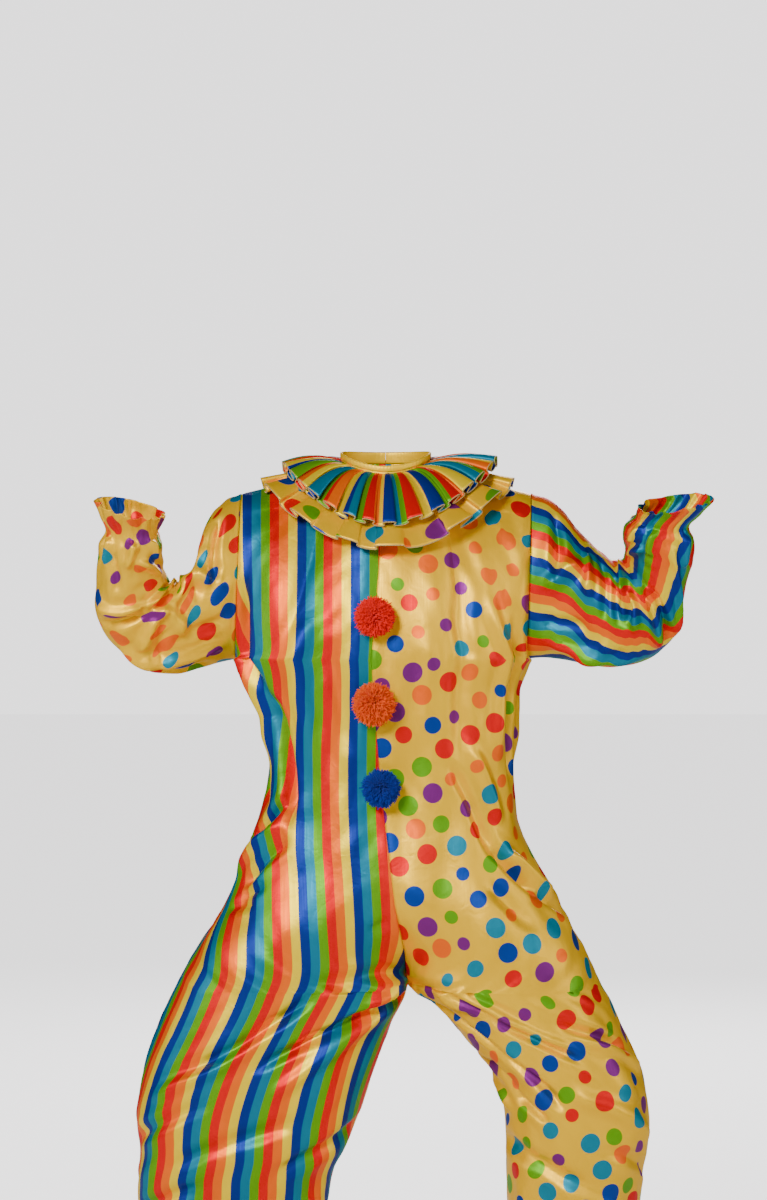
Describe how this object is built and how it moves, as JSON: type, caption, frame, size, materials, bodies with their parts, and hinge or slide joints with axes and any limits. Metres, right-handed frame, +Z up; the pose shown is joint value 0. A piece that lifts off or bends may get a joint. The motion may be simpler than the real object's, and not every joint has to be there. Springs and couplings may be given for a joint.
{
  "type": "clown jumpsuit",
  "caption": "Loose one-piece clown suit as worn, half striped and half dotted satin, with gathered cuffs and ankles, a double ruffled collar and yarn pompoms.",
  "frame": {"origin": "middle of the neck opening, at the height of the neckband's lower edge beside the neck, where the wearer holds the suit up", "axes": "+Z up the wearer's body, +X towards the wearer's left arm, -Y towards the front"},
  "size_m": [0.8573, 0.3434, 1.3025],
  "materials": {
    "striped_satin": "polyester satin printed with a repeat of red, orange, yellow, blue, turquoise and green stripes",
    "dotted_satin": "yellow polyester satin printed with round dots of several colours and sizes",
    "yellow_satin": "plain yellow polyester satin",
    "red_yarn": "cut yarn pile",
    "orange_yarn": "cut yarn pile",
    "blue_yarn": "cut yarn pile"
  },
  "bodies": {
    "root": {"front_right": "striped_satin", "back_right": "striped_satin", "front_left": "dotted_satin", "back_left": "dotted_satin", "sleeve_right": "dotted_satin", "sleeve_left": "striped_satin", "neckband": "yellow_satin", "collar_upper_frill": "striped_satin", "collar_lower_frill": "dotted_satin", "back_placket": "dotted_satin", "pompom_red": "red_yarn", "pompom_orange": "orange_yarn", "pompom_blue": "blue_yarn"}
  },
  "joints": []
}
